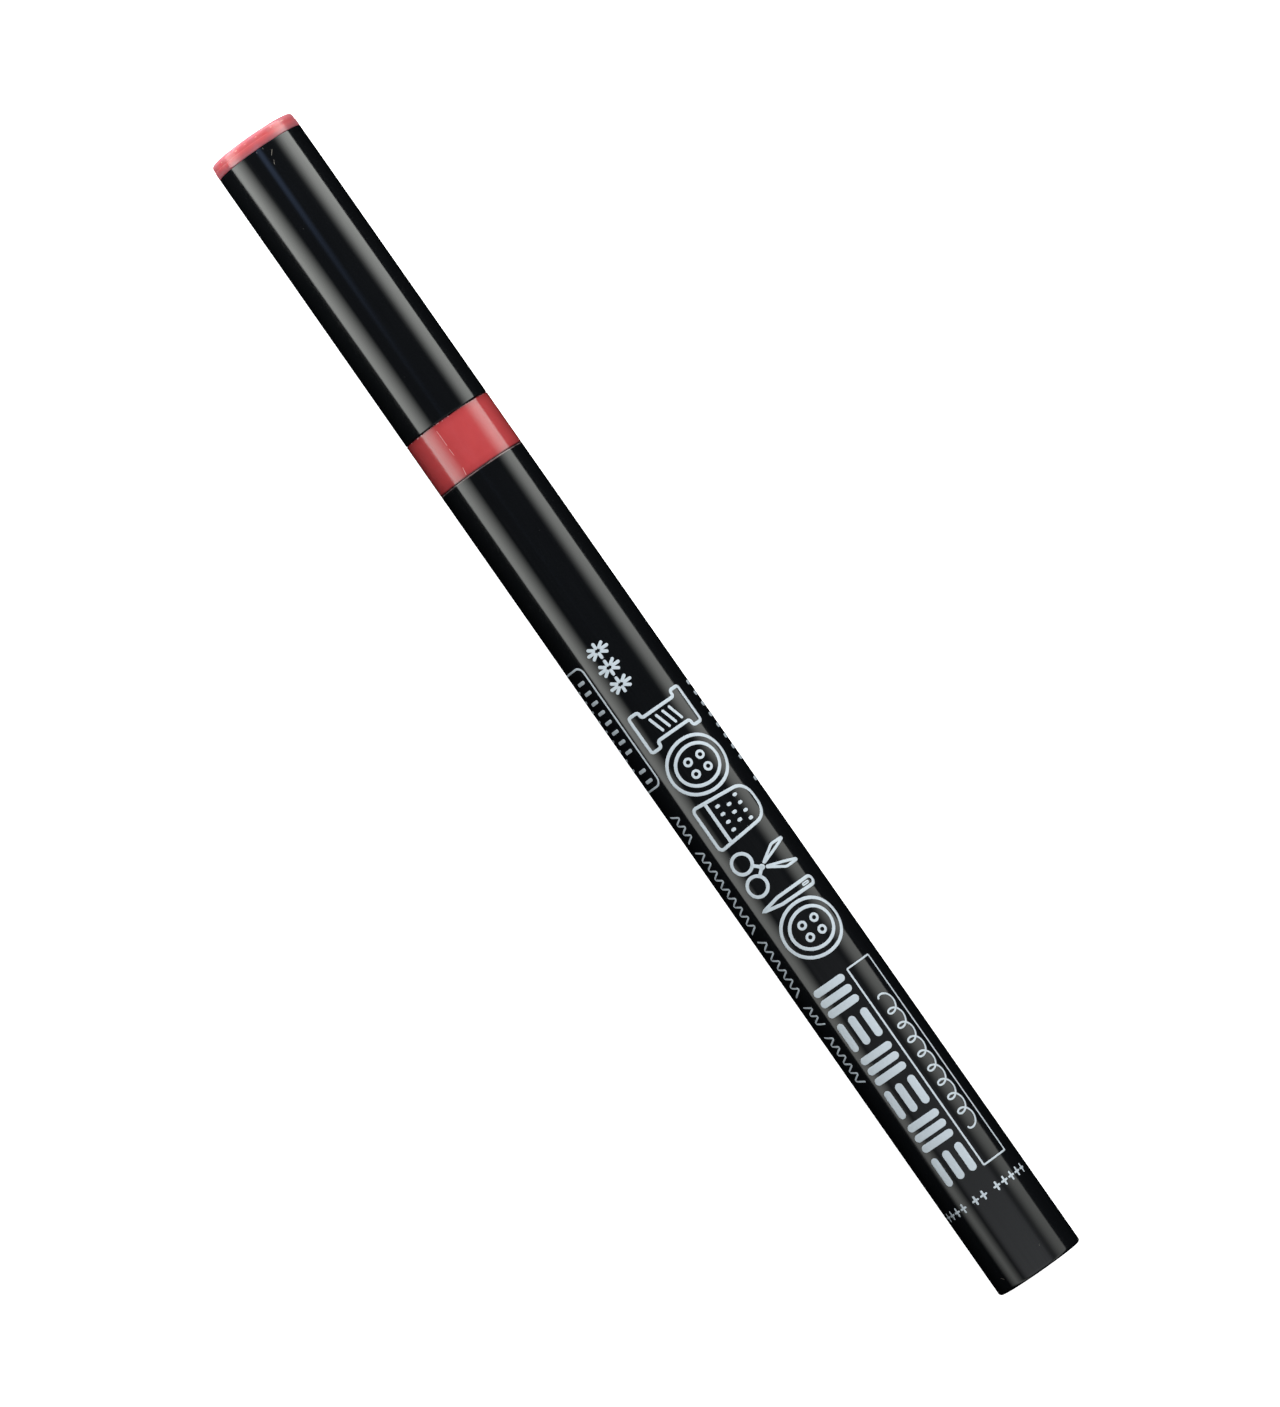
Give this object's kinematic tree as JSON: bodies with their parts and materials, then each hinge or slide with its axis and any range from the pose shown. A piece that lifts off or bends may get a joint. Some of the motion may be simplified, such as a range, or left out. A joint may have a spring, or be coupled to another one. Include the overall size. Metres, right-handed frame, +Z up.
{
  "type": "fabric marking pen",
  "caption": "Slim round fabric marking pen with a black barrel, a red colour ring, a pull-off cap closed by a red plug, and a fine fibre nib.",
  "frame": {"origin": "on the surface that the pen lies on, under the middle of its length", "axes": "+X along the pen towards its tail, so the cap's end is at -X; +Z up, away from the surface"},
  "size_m": [0.14, 0.0098, 0.0099],
  "materials": {
    "black_tube": "glossy extruded tube",
    "black_moulding": "semi-gloss moulded",
    "red_ring": "glossy red",
    "red_plug": "glossy translucent red",
    "natural_plastic": "natural unpigmented",
    "inked_fibre": "bonded fibre soaked with red ink",
    "reservoir_fibre": "fibre bundle soaked with red ink",
    "clear_film": "thin clear film",
    "print_ink": "pale screen-printed ink"
  },
  "bodies": {
    "pen": {"barrel": "black_tube", "colour_ring": "red_ring", "tail_plug": "black_moulding", "front_section": "black_moulding", "nib_holder": "natural_plastic", "nib": "inked_fibre", "ink_reservoir": "reservoir_fibre", "reservoir_film": "clear_film"},
    "cap": {"cap_tube": "black_tube", "inner_cap": "natural_plastic", "cap_end_plug": "red_plug"}
  },
  "joints": [
    {"name": "cap_pull", "type": "slide", "parent": "pen", "child": "cap", "axis": [-1, 0, 0], "range_m": [0, 0.045]}
  ]
}
